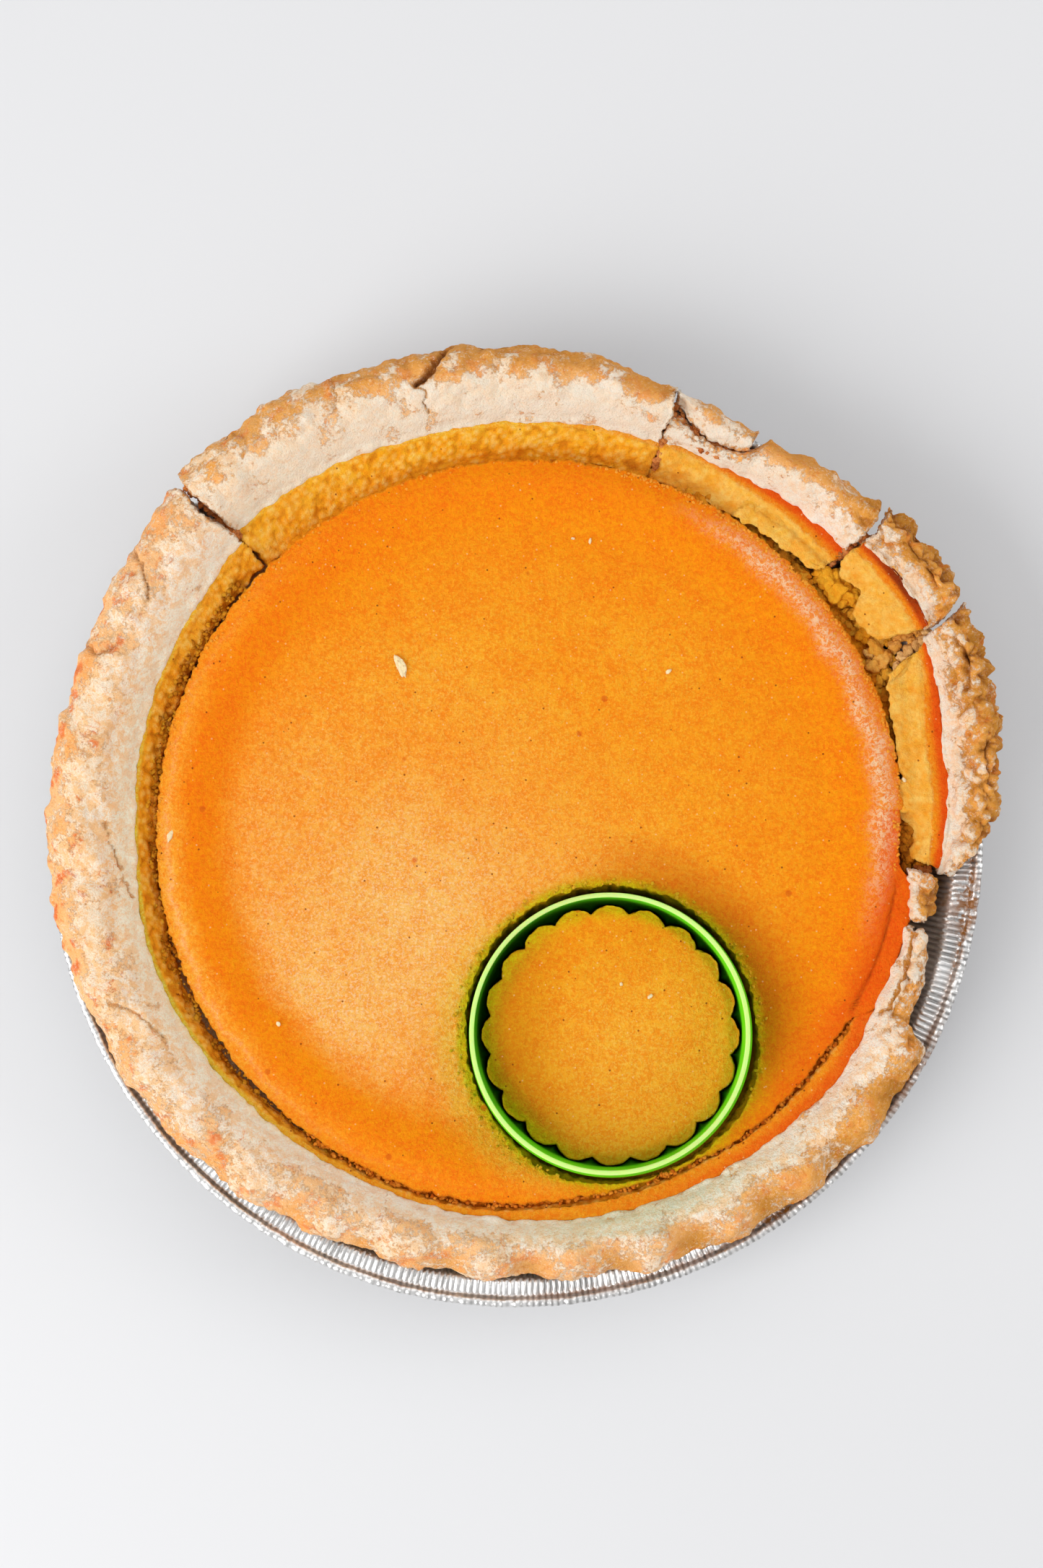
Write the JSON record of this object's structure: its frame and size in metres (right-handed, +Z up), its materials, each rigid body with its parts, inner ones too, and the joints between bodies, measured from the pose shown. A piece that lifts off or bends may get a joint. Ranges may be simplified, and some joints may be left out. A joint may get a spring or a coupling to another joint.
{
  "type": "pumpkin pie",
  "caption": "Round baked pumpkin pie in a pleated foil pan, its crust rim cracked and broken at one side, with a round fluted cutter standing in the filling.",
  "frame": {"origin": "middle of the pan's flat base, on the surface that it stands on", "axes": "+Z up; +X to the right and +Y away from the viewer when the broken side of the rim is on the right and the cutter is nearest"},
  "size_m": [0.2486, 0.2514, 0.0411],
  "materials": {
    "foil": "satin",
    "crust": "dry baked pastry",
    "filling": "soft baked custard",
    "green_plastic": "semi-gloss"
  },
  "bodies": {
    "root": {"foil_pan": "foil", "crust_shell": "crust", "crust_top": "crust", "crust_upper_right": "crust", "crust_flake": "crust", "crust_chip": "crust", "crust_right": "crust", "crust_scrap": "crust", "filling_slab": "filling", "filling_round": "filling", "filling_edge_left": "filling", "filling_edge_top": "filling", "filling_edge_upper_right": "filling", "filling_edge_chip": "filling", "filling_edge_right": "filling", "cutter": "green_plastic"}
  },
  "joints": []
}
